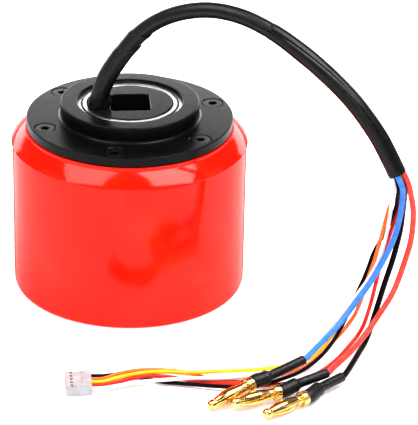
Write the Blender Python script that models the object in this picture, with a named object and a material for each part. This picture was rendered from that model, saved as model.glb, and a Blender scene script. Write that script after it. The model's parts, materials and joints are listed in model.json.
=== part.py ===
"""Skateboard hub motor: a brushless outrunner inside a polyurethane tyre, with its cable and plugs.

Lengths are in millimetres in the constants and turned into metres when meshes are made. The motor
axis is Z. The motor stands on its outboard side, and the side with the axle socket and cable is up.
"""
import bpy
import bmesh
import math
from mathutils import Matrix, Vector

MM = 0.001
GAP = 0.3                        # clearance left between neighbouring pieces

# Tyre
TYRE_R, WALL_R, TYRE_BORE_R = 41.5, 41.1, 35.9
LIP_Z, NECK_R, NECK_Z = 54.0, 36.9, 58.4

# Rotor shell
CAN_R, CAN_BORE_R, RIM_BORE_R = 35.6, 33.2, 28.4
CAN_LOW_Z, RIM_Z, CAN_TOP_Z = 3.5, 50.0, 59.7
OUTBOARD_Z, BOSS_R, SEAT_TOP_Z = 0.4, 18.0, 11.6

# Inboard cover
FLANGE_R, FLANGE_LOW_Z, FLANGE_TOP_Z = 36.5, 60.0, 63.3
COVER_BOSS_R, COVER_TOP_Z, COVER_MOUTH_R = 24.5, 69.0, 18.7
SPIGOT_R, SPIGOT_Z = 28.1, 57.5
SCREW_COUNT, SCREW_PCR, SCREW_ANGLE = 6, 31.6, 20.8
SCREW_HEAD_R, SCREW_SHANK_R, SCREW_TIP_Z = 3.6, 1.7, 54.0

# Bearings: 30 x 42 x 7 at the cable side, 15 x 28 x 7 at the closed side
BEARING_TOP_Z, BEARING_W = 68.0, 7.0
IN_BEARING = (15.15, 16.95, 19.7, 21.0)
OUT_BEARING = (7.5, 9.4, 12.1, 14.0)
OUT_BEARING_Z = 4.3

# Magnetic circuit
FLUX_R, FLUX_BORE_R, FLUX_Z = 32.9, 30.3, (13.8, 49.4)
MAGNETS, MAGNET_R, MAGNET_ARC, MAGNET_Z = 10, (27.4, 30.0), 30.0, (15.6, 45.6)
TEETH, CORE_R, CORE_BORE_R, CORE_BACK_R = 12, 26.7, 12.3, 16.4
TOOTH_W, TIP_IN_R, SLOT_W = 4.2, 24.9, 2.4
COIL_R, COIL_WALL = (17.6, 24.4), 1.7

# Shaft
SHAFT_R, SHAFT_MID_R, SHAFT_END_R, SHAFT_TOP_Z = 14.9, 12.0, 7.2, 68.2
SOCKET, SOCKET_CORNER, SOCKET_DEPTH, SOCKET_TURN = 14.0, 1.8, 22.0, 3.5
CABLE_XY, CABLE_HOLE_R = (-10.9, -3.8), 3.0
BOARD_R, BOARD_BORE_R, BOARD_Z = 24.2, 13.0, (50.4, 51.6)

# Cable and its two heat-shrink sleeves
JACKET_R, UNDER_SLEEVE_R = 2.6, 2.3
SLEEVE_BORE_R, BASE_SLEEVE_R, END_SLEEVE_R = 2.6, 3.35, 3.1
CABLE_PATH = [
    (-10.9, -3.8, 58.0), (-10.9, -3.8, 66.5), (-10.5, -3.8, 72.5), (-7.6, -4.1, 80.5),
    (-1.2, -5.3, 91.0), (5.2, -7.0, 99.0), (14.5, -10.5, 105.6), (25.9, -15.5, 109.5),
    (37.0, -21.0, 109.6), (47.7, -26.5, 106.3), (57.1, -31.0, 101.0), (66.5, -35.5, 94.2),
    (75.4, -39.9, 86.2), (83.3, -43.4, 76.1), (88.0, -45.3, 67.7), (90.6, -46.3, 62.6),
]
BASE_SLEEVE_SPAN, END_SLEEVE_START = (11.0, 37.0), 97.0

# Wires leaving the cable: radius, then route
PHASE_R, HALL_R = 1.0, 0.65
PHASE_WIRES = {
    "blue": [(90.4, -48.2, 62.7), (92.2, -48.3, 58.7), (92.7, -46.4, 54.2), (92.4, -46.1, 47.8),
             (90.5, -47.2, 39.0), (86.9, -49.0, 30.9), (82.4, -51.8, 23.7), (77.1, -54.8, 17.0),
             (72.0, -60.0, 12.5), (67.0, -67.4, 11.2), (61.9, -74.7, 9.9), (59.2, -78.7, 9.3)],
    "red": [(92.5, -46.6, 63.4), (94.4, -47.2, 59.4), (95.6, -46.8, 54.6), (96.7, -46.5, 48.2),
            (96.3, -47.6, 38.6), (93.9, -49.7, 29.6), (90.5, -53.2, 21.2), (85.5, -56.6, 13.8),
            (80.2, -61.2, 8.0), (75.1, -69.3, 6.6), (69.7, -77.2, 5.9), (67.0, -81.3, 5.6)],
    "black": [(91.6, -44.7, 62.1), (93.3, -44.4, 58.7), (93.9, -42.0, 54.3), (94.1, -39.0, 48.6),
              (93.4, -39.5, 38.4), (91.2, -41.8, 28.6), (88.1, -45.2, 19.4), (85.1, -49.1, 10.3),
              (81.9, -56.9, 5.1), (78.1, -66.4, 4.1), (74.3, -76.0, 3.7), (72.2, -80.4, 3.6)],
}
HALL_WIRES = {
    "red": [(89.8, -44.7, 61.7), (91.6, -44.6, 57.9), (92.0, -42.0, 53.6), (92.1, -40.0, 47.5),
            (90.1, -40.9, 38.7), (87.6, -42.8, 30.3), (85.5, -45.6, 22.0), (83.3, -49.4, 14.1),
            (80.3, -52.8, 6.3), (75.1, -58.8, 2.3), (70.1, -66.3, 1.2), (64.4, -73.2, 0.8),
            (57.3, -78.7, 0.8), (48.7, -81.5, 0.8), (39.7, -81.7, 0.9), (30.7, -80.6, 0.9),
            (21.8, -79.1, 0.9), (13.1, -77.3, 1.4), (4.6, -79.5, 2.8), (-4.1, -82.2, 2.0),
            (-8.3, -83.8, 2.0), (-12.8, -84.3, 2.0)],
    "orange": [(88.9, -45.7, 61.4), (89.7, -45.0, 57.2), (89.6, -43.3, 52.5), (88.2, -42.9, 46.2),
               (86.4, -44.1, 37.9), (84.3, -46.0, 29.7), (81.5, -48.7, 22.0), (78.9, -52.4, 14.6),
               (75.2, -52.0, 7.0), (69.6, -56.3, 2.5), (65.7, -64.0, 2.6), (59.7, -70.1, 1.3),
               (52.1, -74.2, 0.9), (44.3, -77.7, 0.8), (35.9, -79.6, 0.9), (27.5, -77.7, 0.9),
               (19.8, -73.7, 1.0), (11.3, -72.1, 1.0), (3.0, -74.1, 2.0), (-4.4, -78.2, 2.7),
               (-8.6, -79.8, 2.0), (-13.1, -80.1, 2.0)],
    "black": [(89.8, -46.6, 62.0), (91.1, -46.2, 57.9), (91.2, -43.7, 53.6), (91.1, -41.6, 47.7),
              (88.2, -42.3, 39.5), (84.3, -43.8, 32.0), (81.4, -46.3, 24.2), (77.8, -49.7, 17.1),
              (74.3, -55.7, 11.9), (70.1, -60.6, 6.2), (65.1, -67.1, 3.4), (59.0, -72.9, 1.6),
              (53.0, -79.1, 2.3), (45.5, -83.3, 2.2), (37.0, -84.6, 1.7), (28.4, -83.4, 1.4),
              (19.9, -81.6, 1.1), (11.3, -79.7, 0.8), (3.3, -76.6, 0.8), (-5.1, -75.4, 1.0),
              (-8.7, -77.8, 1.9), (-13.2, -78.0, 2.0)],
    "yellow": [(91.0, -46.3, 62.6), (92.6, -46.4, 58.6), (92.9, -43.9, 54.2), (93.1, -41.9, 48.2),
               (92.1, -41.1, 39.7), (89.7, -41.2, 31.5), (86.0, -42.7, 23.9), (81.2, -45.6, 17.5),
               (76.1, -48.7, 11.3), (71.3, -51.4, 4.8), (66.5, -57.3, 1.3), (61.1, -63.9, 0.8),
               (53.9, -68.5, 1.1), (46.0, -71.7, 1.4), (37.6, -73.6, 1.8), (29.3, -75.4, 2.4),
               (20.8, -76.6, 2.7), (12.3, -76.6, 3.0), (3.7, -77.3, 2.7), (-4.4, -80.0, 2.3),
               (-8.4, -81.8, 2.0), (-12.9, -82.2, 2.0)],
    "white": [(88.9, -47.6, 61.8), (89.4, -46.9, 57.6), (89.2, -44.9, 53.0), (89.0, -44.6, 46.6),
              (87.8, -45.6, 38.4), (85.6, -47.4, 30.5), (81.6, -49.9, 23.6), (76.6, -52.8, 17.6),
              (71.6, -55.6, 11.6), (67.5, -54.7, 4.6), (63.7, -60.8, 2.8), (58.8, -67.4, 1.9),
              (51.8, -72.0, 1.4), (44.5, -76.2, 1.8), (37.0, -79.5, 2.5), (28.6, -80.1, 2.5),
              (20.3, -80.4, 2.6), (12.0, -81.1, 2.4), (3.7, -81.1, 1.5), (-4.1, -83.9, 1.6),
              (-8.2, -85.8, 1.9), (-12.6, -86.4, 2.0)],
}

# Bullet plugs: tip of the pin, mouth of its sleeve, where the sleeve narrows, end of the sleeve
PLUGS = {
    "blue": ((26.7, -98.0, 2.1), (41.4, -88.2, 5.5), (46.7, -85.7, 6.5), (58.9, -78.9, 9.2)),
    "red": ((34.2, -98.2, 3.3), (50.5, -90.6, 3.6), (56.1, -87.3, 4.4), (66.7, -81.5, 5.6)),
    "black": ((44.7, -103.7, 2.4), (59.1, -93.1, 2.9), (63.8, -87.7, 3.2), (71.9, -80.7, 3.6)),
}
PLUG_OUTLINE = [
    (0.0, 0.0), (0.0, 1.0), (0.6, 1.6), (2.4, 1.7), (2.9, 1.4), (3.6, 1.7), (6.0, 2.25),
    (8.6, 2.4), (11.2, 2.2), (13.6, 1.75), (14.7, 1.75), (15.0, 2.55), (16.4, 2.55), (16.4, 2.0),
    (17.5, 2.0), (17.5, 0.0),
]
PLUG_SLEEVE_R, WIRE_SLEEVE_R = 2.4, 1.6

# Signal plug: five-way housing lying flat
HOUSING, HOUSING_AT, HOUSING_TURN = (8.0, 10.6, 3.6), (-17.2, -82.5, 1.95), 4.0
PITCH, PIN_HOLE, WIRE_HOLE = 2.1, (1.0, 0.7, 1.2), 1.5

TURN_STEPS = 56                  # facets round a large diameter
SMALL_STEPS = 40
HOLE_STEPS = 14

MATERIALS = {
    "tyre_red": ((0.80, 0.035, 0.010), 0.0, 0.18),
    "anodised_black": ((0.022, 0.022, 0.024), 0.6, 0.38),
    "bearing_steel": ((0.72, 0.73, 0.75), 1.0, 0.22),
    "screw_black": ((0.030, 0.030, 0.033), 0.7, 0.35),
    "yoke_steel": ((0.38, 0.38, 0.40), 1.0, 0.45),
    "magnet_nickel": ((0.55, 0.54, 0.52), 1.0, 0.30),
    "lamination": ((0.30, 0.31, 0.34), 0.9, 0.50),
    "copper": ((0.72, 0.30, 0.14), 1.0, 0.35),
    "board_green": ((0.03, 0.16, 0.07), 0.0, 0.40),
    "sleeve_black": ((0.020, 0.020, 0.021), 0.0, 0.55),
    "wire_blue": ((0.06, 0.26, 0.85), 0.0, 0.45),
    "wire_red": ((0.80, 0.07, 0.05), 0.0, 0.45),
    "wire_black": ((0.012, 0.012, 0.014), 0.0, 0.45),
    "wire_orange": ((0.85, 0.13, 0.03), 0.0, 0.45),
    "wire_yellow": ((0.90, 0.72, 0.02), 0.0, 0.45),
    "wire_white": ((0.85, 0.85, 0.83), 0.0, 0.45),
    "gold": ((0.83, 0.55, 0.20), 1.0, 0.22),
    "housing_white": ((0.82, 0.82, 0.80), 0.0, 0.45),
}


def material(name):
    """The named Principled material, made on first use."""
    found = bpy.data.materials.get(name)
    if found:
        return found
    colour, metallic, roughness = MATERIALS[name]
    made = bpy.data.materials.new(name)
    made.use_nodes = True
    shader = made.node_tree.nodes["Principled BSDF"]
    shader.inputs["Base Color"].default_value = (*colour, 1.0)
    shader.inputs["Metallic"].default_value = metallic
    shader.inputs["Roughness"].default_value = roughness
    made.diffuse_color = (*colour, 1.0)
    return made


def add_object(name, mesh, slot, smooth=True):
    """An object in the scene with its material, round sides smooth and edges sharp."""
    if smooth:
        mesh.shade_smooth()
        mesh.set_sharp_from_angle(angle=math.radians(32))
    obj = bpy.data.objects.new(name, mesh)
    obj.data.materials.append(material(slot))
    bpy.context.scene.collection.objects.link(obj)
    return obj


def finish_mesh(bm, name):
    """A mesh in metres from a bmesh in millimetres, with its faces turned outwards."""
    bmesh.ops.recalc_face_normals(bm, faces=bm.faces)
    bmesh.ops.scale(bm, vec=(MM, MM, MM), verts=bm.verts)
    mesh = bpy.data.meshes.new(name)
    bm.to_mesh(mesh)
    bm.free()
    return mesh


def lathe_bmesh(outline, steps):
    """A solid of revolution. A closed outline clear of the axis gives a ring."""
    bm = bmesh.new()
    rings = []
    for radius, z in outline:
        if radius < 1e-6:
            rings.append([bm.verts.new((0.0, 0.0, z))])
            continue
        ring = []
        for i in range(steps):
            turn = 2.0 * math.pi * i / steps
            ring.append(bm.verts.new((radius * math.cos(turn), radius * math.sin(turn), z)))
        rings.append(ring)
    solid = len(rings[0]) == 1
    pairs = zip(rings, rings[1:]) if solid else zip(rings, rings[1:] + rings[:1])
    for low, high in pairs:
        for i in range(steps):
            j = (i + 1) % steps
            if len(low) == 1:
                bm.faces.new((low[0], high[i], high[j]))
            elif len(high) == 1:
                bm.faces.new((low[i], low[j], high[0]))
            else:
                bm.faces.new((low[i], low[j], high[j], high[i]))
    return bm


def lathe(name, outline, slot, steps=TURN_STEPS):
    return add_object(name, finish_mesh(lathe_bmesh(outline, steps), name), slot)


def ring_outline(inner, outer, low, high, chamfer=0.0):
    """Rectangular ring section, its corners cut by the chamfer."""
    c = chamfer
    if c == 0.0:
        return [(inner, low), (outer, low), (outer, high), (inner, high)]
    return [(inner, low + c), (inner + c, low), (outer - c, low), (outer, low + c),
            (outer, high - c), (outer - c, high), (inner + c, high), (inner, high - c)]


def prism_bmesh(points, low, high):
    """A flat outline raised between two heights."""
    bm = bmesh.new()
    bottom = [bm.verts.new((x, y, low)) for x, y in points]
    top = [bm.verts.new((x, y, high)) for x, y in points]
    bm.faces.new(bottom[::-1])
    bm.faces.new(top)
    for i in range(len(points)):
        j = (i + 1) % len(points)
        bm.faces.new((bottom[i], bottom[j], top[j], top[i]))
    return bm


def merge(parts):
    """One bmesh holding several separate pieces."""
    whole = bmesh.new()
    for part in parts:
        mesh = bpy.data.meshes.new("merge_piece")
        part.to_mesh(mesh)
        part.free()
        whole.from_mesh(mesh)
        bpy.data.meshes.remove(mesh)
    return whole


def cut(obj, cutter_bm):
    """Take the cutter's volume out of the object, leaving a plain mesh."""
    cutter = bpy.data.objects.new("cutter", finish_mesh(cutter_bm, "cutter"))
    bpy.context.scene.collection.objects.link(cutter)
    step = obj.modifiers.new("cut", "BOOLEAN")
    step.operation = "DIFFERENCE"
    step.solver = "EXACT"
    step.object = cutter
    graph = bpy.context.evaluated_depsgraph_get()
    cut_mesh = bpy.data.meshes.new_from_object(obj.evaluated_get(graph))
    obj.modifiers.clear()
    old = obj.data
    obj.data = cut_mesh
    bpy.data.meshes.remove(old)
    cutter_mesh = cutter.data
    bpy.data.objects.remove(cutter)
    bpy.data.meshes.remove(cutter_mesh)
    obj.data.set_sharp_from_angle(angle=math.radians(32))


def polar(radius, degrees):
    turn = math.radians(degrees)
    return radius * math.cos(turn), radius * math.sin(turn)


def move(bm, offset=(0, 0, 0), turn=0.0):
    bmesh.ops.rotate(bm, verts=bm.verts, matrix=Matrix.Rotation(math.radians(turn), 3, "Z"))
    bmesh.ops.translate(bm, verts=bm.verts, vec=offset)
    return bm


def smooth_path(points, spacing):
    """Points along a uniform Catmull-Rom curve through the given ones, evenly spaced."""
    knots = [Vector(p) for p in points]
    knots = [2 * knots[0] - knots[1]] + knots + [2 * knots[-1] - knots[-2]]
    dense = []
    for i in range(1, len(knots) - 2):
        a, b, c, d = knots[i - 1:i + 3]
        for k in range(24):
            u = k / 24.0
            dense.append(0.5 * (2 * b + (c - a) * u + (2 * a - 5 * b + 4 * c - d) * u * u
                                + (3 * b - a - 3 * c + d) * u ** 3))
    dense.append(knots[-2])
    lengths = [0.0]
    for first, second in zip(dense, dense[1:]):
        lengths.append(lengths[-1] + (second - first).length)
    count = max(2, round(lengths[-1] / spacing))
    placed = []
    at = 0
    for n in range(count + 1):
        want = lengths[-1] * n / count
        while at < len(lengths) - 2 and lengths[at + 1] < want:
            at += 1
        share = (want - lengths[at]) / max(lengths[at + 1] - lengths[at], 1e-9)
        placed.append(dense[at].lerp(dense[at + 1], min(max(share, 0.0), 1.0)))
    return placed, lengths[-1]


def point_at(path, length, along):
    """The point at a distance along an evenly spaced path."""
    at = along * (len(path) - 1) / length
    low = min(int(at), len(path) - 2)
    return path[low].lerp(path[low + 1], at - low)


def stretch(path, length, span):
    """The piece of an evenly spaced path between two distances along it."""
    count = max(2, round((span[1] - span[0]) * (len(path) - 1) / length))
    return [point_at(path, length, span[0] + (span[1] - span[0]) * k / count) for k in range(count + 1)]


def tube(name, points, radius, slot, sides=2, scales=None):
    """A round solid cord along the points."""
    curve = bpy.data.curves.new(name, "CURVE")
    curve.dimensions = "3D"
    curve.bevel_depth = radius * MM
    curve.bevel_resolution = sides
    curve.use_fill_caps = True
    spline = curve.splines.new("POLY")
    spline.points.add(len(points) - 1)
    for i, point in enumerate(points):
        spline.points[i].co = (point[0] * MM, point[1] * MM, point[2] * MM, 1.0)
        if scales:
            spline.points[i].radius = scales[i]
    obj = bpy.data.objects.new(name, curve)
    obj.data.materials.append(material(slot))
    bpy.context.scene.collection.objects.link(obj)
    return obj


def frames_along(points):
    """Two axes across the path at each point, carried along without twist."""
    frames = []
    side = None
    for i, point in enumerate(points):
        ahead = points[min(i + 1, len(points) - 1)] - points[max(i - 1, 0)]
        ahead.normalize()
        if side is None:
            side = ahead.cross(Vector((0, 1, 0))).normalized()
        side = (side - ahead * side.dot(ahead)).normalized()
        frames.append((point, side, ahead.cross(side)))
    return frames


def swept_bmesh(path, outer, inner=None, steps=16):
    """A solid or hollow piece swept along a path, with a radius for every point."""
    bm = bmesh.new()
    frames = frames_along(path)

    def rings_of(radii):
        rings = []
        for (centre, side, up), radius in zip(frames, radii):
            ring = []
            for i in range(steps):
                turn = 2.0 * math.pi * i / steps
                across = side * math.cos(turn) + up * math.sin(turn)
                ring.append(bm.verts.new(centre + across * radius))
            rings.append(ring)
        return rings

    outside = rings_of(outer)
    loops = outside
    if inner:
        loops = outside + rings_of(inner)[::-1]
        loops.append(outside[0])
    for first, second in zip(loops, loops[1:]):
        for i in range(steps):
            j = (i + 1) % steps
            bm.faces.new((first[i], first[j], second[j], second[i]))
    if not inner:
        bm.faces.new(outside[0][::-1])
        bm.faces.new(outside[-1])
    return bm


# ---------------------------------------------------------------- rotor

def build_tyre():
    lathe("tyre", [
        (TYRE_BORE_R, 0.6), (TYRE_BORE_R + 0.6, 0.0), (40.5, 0.0), (40.9, 0.12), (41.0, 0.5),
        (WALL_R, 4.0), (WALL_R, 53.0), (TYRE_R - 0.05, 53.35), (TYRE_R, LIP_Z), (41.3, 54.7),
        (40.7, 55.6), (39.7, 56.7), (38.6, 57.6), (37.6, 58.2), (NECK_R + 0.1, NECK_Z),
        (NECK_R, NECK_Z + 0.2), (NECK_R, CAN_TOP_Z - 0.25), (NECK_R - 0.25, CAN_TOP_Z),
        (TYRE_BORE_R, CAN_TOP_Z),
    ], "tyre_red", 72)


def build_can():
    can = lathe("rotor_can", [
        (CAN_BORE_R, CAN_LOW_Z), (CAN_R, CAN_LOW_Z), (CAN_R, CAN_TOP_Z), (RIM_BORE_R, CAN_TOP_Z),
        (RIM_BORE_R, RIM_Z), (CAN_BORE_R, RIM_Z),
    ], "anodised_black", SMALL_STEPS)
    holes = []
    for i in range(SCREW_COUNT):
        x, y = polar(SCREW_PCR, SCREW_ANGLE + 60 * i)
        bore = SCREW_SHANK_R + GAP
        hole = lathe_bmesh([(0, 53.0), (bore, 53.4), (bore, 61), (0, 61)], HOLE_STEPS)
        holes.append(move(hole, (x, y, 0)))
    cut(can, merge(holes))


def build_outboard_cover():
    seat = OUT_BEARING[3] + GAP
    lathe("outboard_cover", [
        (0, OUTBOARD_Z), (CAN_R - 0.5, OUTBOARD_Z), (CAN_R, OUTBOARD_Z + 0.5), (CAN_R, CAN_LOW_Z - GAP),
        (CAN_BORE_R - GAP, CAN_LOW_Z - GAP), (CAN_BORE_R - GAP, 7.0), (30.0, 7.0), (29.0, 4.4),
        (BOSS_R, 4.4), (BOSS_R, SEAT_TOP_Z), (seat, SEAT_TOP_Z), (seat, 4.0), (0, 4.0),
    ], "anodised_black", SMALL_STEPS)


def build_flux_ring():
    lathe("flux_ring", ring_outline(FLUX_BORE_R, FLUX_R, *FLUX_Z), "yoke_steel", SMALL_STEPS)


def build_magnets():
    inner, outer = MAGNET_R
    for n in range(MAGNETS):
        middle = 360.0 / MAGNETS * n
        arc = [middle + MAGNET_ARC * (k / 5.0 - 0.5) for k in range(6)]
        points = [polar(outer, a) for a in arc] + [polar(inner, a) for a in arc[::-1]]
        name = f"magnet_{n + 1:02d}"
        add_object(name, finish_mesh(prism_bmesh(points, *MAGNET_Z), name), "magnet_nickel", False)


def build_inboard_cover():
    seat = IN_BEARING[3] + GAP
    cover = lathe("inboard_cover", [
        (seat, SPIGOT_Z), (SPIGOT_R, SPIGOT_Z), (SPIGOT_R, FLANGE_LOW_Z), (FLANGE_R - 0.25, FLANGE_LOW_Z),
        (FLANGE_R, FLANGE_LOW_Z + 0.25), (FLANGE_R, FLANGE_TOP_Z - 0.35), (FLANGE_R - 0.35, FLANGE_TOP_Z),
        (27.0, FLANGE_TOP_Z), (26.0, 63.5), (25.2, 63.9), (24.7, 64.5), (COVER_BOSS_R, 65.3),
        (COVER_BOSS_R, 68.5), (COVER_BOSS_R - 0.5, COVER_TOP_Z), (COVER_MOUTH_R + 0.2, COVER_TOP_Z),
        (COVER_MOUTH_R, COVER_TOP_Z - 0.2), (COVER_MOUTH_R, BEARING_TOP_Z + GAP), (seat, BEARING_TOP_Z + GAP),
    ], "anodised_black")
    holes = []
    wide = SCREW_HEAD_R + 0.3
    for i in range(SCREW_COUNT):
        x, y = polar(SCREW_PCR, SCREW_ANGLE + 60 * i)
        hole = lathe_bmesh([(0, 59), (SCREW_SHANK_R + GAP, 59), (SCREW_SHANK_R + GAP, 60.9),
                            (wide, 62.75), (wide, 64), (0, 64)], HOLE_STEPS)
        holes.append(move(hole, (x, y, 0)))
    cut(cover, merge(holes))


def build_screws():
    for i in range(SCREW_COUNT):
        x, y = polar(SCREW_PCR, SCREW_ANGLE + 60 * i)
        name = f"cover_screw_{i + 1}"
        top = FLANGE_TOP_Z - 0.15
        body = lathe_bmesh([(0, SCREW_TIP_Z), (SCREW_SHANK_R - 0.4, SCREW_TIP_Z), (SCREW_SHANK_R, 54.5),
                            (SCREW_SHANK_R, 61.0), (SCREW_HEAD_R, 62.85), (SCREW_HEAD_R - 0.1, top),
                            (0, top)], HOLE_STEPS)
        screw = add_object(name, finish_mesh(move(body, (x, y, 0)), name), "screw_black")
        hexagon = [polar(1.45, 60 * k + 14 * i) for k in range(6)]
        cut(screw, move(prism_bmesh(hexagon, top - 1.9, top + 1.0), (x, y, 0)))


def build_bearings():
    bore, inner, outer, rim = IN_BEARING
    low, high = BEARING_TOP_Z - BEARING_W, BEARING_TOP_Z
    lathe("inboard_bearing_inner", ring_outline(bore, inner, low, high, 0.25), "bearing_steel", SMALL_STEPS)
    lathe("inboard_bearing_outer", ring_outline(outer, rim, low, high, 0.25), "bearing_steel", SMALL_STEPS)
    lathe("inboard_bearing_shield", ring_outline(inner + 0.3, outer - 0.25, high - 0.75, high - 0.25),
          "bearing_steel", SMALL_STEPS)
    bore, inner, outer, rim = OUT_BEARING
    low, high = OUT_BEARING_Z, OUT_BEARING_Z + BEARING_W
    lathe("outboard_bearing_inner", ring_outline(bore, inner, low, high), "bearing_steel", SMALL_STEPS)
    lathe("outboard_bearing_outer", ring_outline(outer, rim, low, high), "bearing_steel", SMALL_STEPS)


# ---------------------------------------------------------------- stator

def rounded_square(size, corner, steps=3):
    points = []
    half = size / 2.0 - corner
    for quarter, (sx, sy) in enumerate([(1, 1), (-1, 1), (-1, -1), (1, -1)]):
        for k in range(steps + 1):
            x, y = polar(corner, 90.0 * quarter + 90.0 * k / steps)
            points.append((sx * half + x, sy * half + y))
    return points


def build_shaft():
    shaft = lathe("shaft", [
        (0, 4.6), (SHAFT_END_R - 0.5, 4.6), (SHAFT_END_R, 5.1), (SHAFT_END_R, 11.7), (10.0, 11.7),
        (10.0, 15.5), (SHAFT_MID_R, 15.5), (SHAFT_MID_R, 52.2), (16.3, 52.2), (16.3, 60.6),
        (SHAFT_R, 60.6), (SHAFT_R, SHAFT_TOP_Z - 0.25), (SHAFT_R - 0.25, SHAFT_TOP_Z), (0, SHAFT_TOP_Z),
    ], "anodised_black", SMALL_STEPS)
    socket = prism_bmesh(rounded_square(SOCKET, SOCKET_CORNER), SHAFT_TOP_Z - SOCKET_DEPTH, 72.0)
    cut(shaft, move(socket, turn=SOCKET_TURN))
    hole = lathe_bmesh([(0, 50.5), (CABLE_HOLE_R, 50.5), (CABLE_HOLE_R, 72), (0, 72)], 24)
    cut(shaft, move(hole, (*CABLE_XY, 0)))


def build_core():
    points = []
    half_slot = math.degrees(SLOT_W / 2.0 / CORE_R)
    half_tooth = TOOTH_W / 2.0
    for n in range(TEETH):
        middle = 360.0 / TEETH * n
        edge = 180.0 / TEETH - half_slot
        root = math.sqrt(CORE_BACK_R ** 2 - half_tooth ** 2)
        neck = math.sqrt(TIP_IN_R ** 2 - half_tooth ** 2)
        local = [(root, -half_tooth), (neck, -half_tooth), polar(TIP_IN_R + 0.6, -edge), polar(CORE_R, -edge)]
        local += [polar(CORE_R, edge * k / 2.0) for k in (-1, 0, 1)]
        local += [polar(CORE_R, edge), polar(TIP_IN_R + 0.6, edge), (neck, half_tooth), (root, half_tooth)]
        local.append(polar(CORE_BACK_R, 180.0 / TEETH))
        turn = Matrix.Rotation(math.radians(middle), 2)
        points += [tuple(turn @ Vector(p)) for p in local]
    low, high = MAGNET_Z
    mesh = finish_mesh(prism_bmesh(points, low, high), "stator_core")
    core = add_object("stator_core", mesh, "lamination", False)
    cut(core, lathe_bmesh([(0, 10), (CORE_BORE_R, 10), (CORE_BORE_R, 60), (0, 60)], SMALL_STEPS))


def frame_points(half_w, low, high, corner):
    """Rectangle across a tooth with cut corners, as (sideways, height) pairs."""
    return [(half_w, low + corner), (half_w, high - corner), (half_w - corner, high), (corner - half_w, high),
            (-half_w, high - corner), (-half_w, low + corner), (corner - half_w, low), (half_w - corner, low)]


def build_coils():
    low, high = MAGNET_Z
    hole = frame_points(TOOTH_W / 2.0 + GAP, low - GAP, high + GAP, 0.3)
    rim = frame_points(TOOTH_W / 2.0 + GAP + COIL_WALL, low - GAP - COIL_WALL, high + GAP + COIL_WALL, 1.3)
    for n in range(TEETH):
        bm = bmesh.new()
        loops = []
        for radius, outline in ((COIL_R[0], rim), (COIL_R[1], rim), (COIL_R[1], hole), (COIL_R[0], hole)):
            loops.append([bm.verts.new((radius, side, z)) for side, z in outline])
        for first, second in zip(loops, loops[1:] + loops[:1]):
            for i in range(8):
                j = (i + 1) % 8
                bm.faces.new((first[i], first[j], second[j], second[i]))
        name = f"coil_{n + 1:02d}"
        add_object(name, finish_mesh(move(bm, turn=360.0 / TEETH * n), name), "copper", False)


def build_board():
    lathe("hall_board", ring_outline(BOARD_BORE_R, BOARD_R, *BOARD_Z), "board_green", 32)


# ---------------------------------------------------------------- cable, wires and plugs

def build_cable():
    path, length = smooth_path(CABLE_PATH, 5.0)
    end_span = (END_SLEEVE_START, length)
    count = len(path) - 1
    scales = []
    for i in range(count):
        along = length * i / count
        covered = along < BASE_SLEEVE_SPAN[1] + 0.5 or along > end_span[0] - 0.5
        scales.append(UNDER_SLEEVE_R / JACKET_R if covered else 1.0)
    tube("cable_jacket", path[:count], JACKET_R, "sleeve_black", 3, scales)
    sleeves = (("base_sleeve", BASE_SLEEVE_SPAN, BASE_SLEEVE_R), ("end_sleeve", end_span, END_SLEEVE_R))
    for name, span, radius in sleeves:
        piece = stretch(path, length, span)
        outer = [radius] * len(piece)
        outer[0 if name == "end_sleeve" else -1] = radius - 0.4
        bm = swept_bmesh(piece, outer, [SLEEVE_BORE_R] * len(piece), 12)
        add_object(name, finish_mesh(bm, name), "sleeve_black")


def build_wires():
    for colour, route in PHASE_WIRES.items():
        tube(f"phase_wire_{colour}", smooth_path(route, 3.8)[0], PHASE_R, f"wire_{colour}")
    for colour, route in HALL_WIRES.items():
        tube(f"hall_wire_{colour}", smooth_path(route, 3.6)[0], HALL_R, f"wire_{colour}")


def build_plugs():
    for colour, ends in PLUGS.items():
        tip, mouth, narrows, thin_end = (Vector(end) for end in ends)
        ahead = (mouth - tip).normalized()
        place = Matrix.Translation(tip) @ ahead.to_track_quat("Z", "Y").to_matrix().to_4x4()
        pin = lathe_bmesh([(radius, along) for along, radius in PLUG_OUTLINE], 16)
        bmesh.ops.transform(pin, matrix=place, verts=pin.verts)
        add_object(f"bullet_plug_{colour}", finish_mesh(pin, f"bullet_plug_{colour}"), "gold")
        dense, length = smooth_path([mouth, mouth + ahead * 1.5, narrows, thin_end], 0.25)
        thick = (narrows - mouth).length
        wide, thin = PLUG_SLEEVE_R, WIRE_SLEEVE_R
        rings = [(0.0, wide - 0.25), (0.3, wide), (2.2, wide), (4.2, wide), (thick - 0.7, wide),
                 (thick + 0.1, wide - 0.4), (thick + 1.3, thin), (thick + 4.5, thin),
                 (thick + 8.0, thin), (length - 0.3, thin), (length, thin - 0.2)]
        path = [point_at(dense, length, along) for along, radius in rings]
        sleeve = swept_bmesh(path, [radius for along, radius in rings], None, 14)
        add_object(f"plug_sleeve_{colour}", finish_mesh(sleeve, f"plug_sleeve_{colour}"), "sleeve_black")


def box_bmesh(size, centre):
    x, y, z = (s / 2.0 for s in size)
    bm = prism_bmesh([(-x, -y), (x, -y), (x, y), (-x, y)], -z, z)
    return move(bm, centre)


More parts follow.
